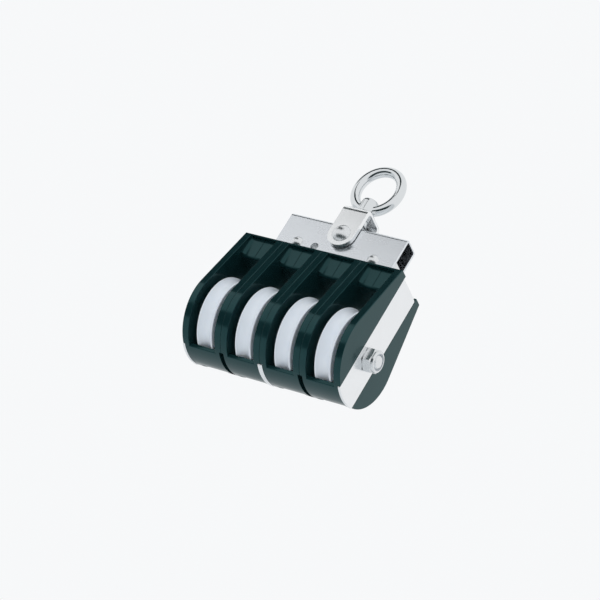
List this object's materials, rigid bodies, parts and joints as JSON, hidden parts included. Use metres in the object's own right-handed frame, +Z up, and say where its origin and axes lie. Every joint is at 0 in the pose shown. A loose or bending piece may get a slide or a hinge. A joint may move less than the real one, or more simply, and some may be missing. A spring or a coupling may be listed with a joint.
{
  "type": "four-sheave rope block with swivel eye",
  "caption": "Rope block with a row of pale sheaves in black moulded shells, stainless straps, head channel, clevis and swivel eye.",
  "frame": {"origin": "centre of the swivel eye's ring", "axes": "+Z up out of the eye, +X along the sheaves' axle towards the lock nut, +Y from the front of the block to its back"},
  "size_m": [0.1181, 0.0556, 0.1536],
  "materials": {
    "eye_steel": "polished forged stainless steel",
    "clevis_steel": "polished stainless plate",
    "channel_steel": "smooth rolled stainless sheet",
    "strap_steel": "polished stainless strip",
    "stainless": "polished stainless steel",
    "shell_black": "glossy black polyacetal with a faint teal tint",
    "sheave_white": "satin natural polyacetal",
    "insert_nylon": "natural nylon"
  },
  "bodies": {
    "eye": {"swivel_eye": "eye_steel", "eye_washer": "stainless"},
    "clevis": {"clevis": "clevis_steel", "clevis_rivet": "stainless"},
    "block": {"head_channel": "channel_steel", "pivot_sleeve": "stainless", "tie_bar": "stainless", "head_rivet_left": "stainless", "head_rivet_right": "stainless", "strap_screws": "stainless", "strap_left": "strap_steel", "strap_right": "strap_steel", "shell_1": "shell_black", "shell_2": "shell_black", "shell_3": "shell_black", "shell_4": "shell_black", "bearing_sleeve_1": "stainless", "bearing_sleeve_2": "stainless", "bearing_sleeve_3": "stainless", "bearing_sleeve_4": "stainless", "axle_bolt": "stainless", "lock_nut": "stainless", "lock_nut_insert": "insert_nylon"},
    "sheave_1": {"sheave_1": "sheave_white"},
    "sheave_2": {"sheave_2": "sheave_white"},
    "sheave_3": {"sheave_3": "sheave_white"},
    "sheave_4": {"sheave_4": "sheave_white"}
  },
  "joints": [
    {"name": "eye_swivel", "type": "hinge", "parent": "eye", "child": "clevis", "pos_m": [0, 0, -0.018], "axis": [0, 0, 1], "continuous": true},
    {"name": "clevis_tilt", "type": "hinge", "parent": "clevis", "child": "block", "pos_m": [0, 0, -0.039], "axis": [0, 1, 0], "range_deg": [-35, 35]},
    {"name": "sheave_1_turn", "type": "hinge", "parent": "block", "child": "sheave_1", "pos_m": [-0.03975, 0, -0.1075], "axis": [1, 0, 0], "continuous": true},
    {"name": "sheave_2_turn", "type": "hinge", "parent": "block", "child": "sheave_2", "pos_m": [-0.01325, 0, -0.1075], "axis": [1, 0, 0], "continuous": true},
    {"name": "sheave_3_turn", "type": "hinge", "parent": "block", "child": "sheave_3", "pos_m": [0.01325, 0, -0.1075], "axis": [1, 0, 0], "continuous": true},
    {"name": "sheave_4_turn", "type": "hinge", "parent": "block", "child": "sheave_4", "pos_m": [0.03975, 0, -0.1075], "axis": [1, 0, 0], "continuous": true}
  ]
}
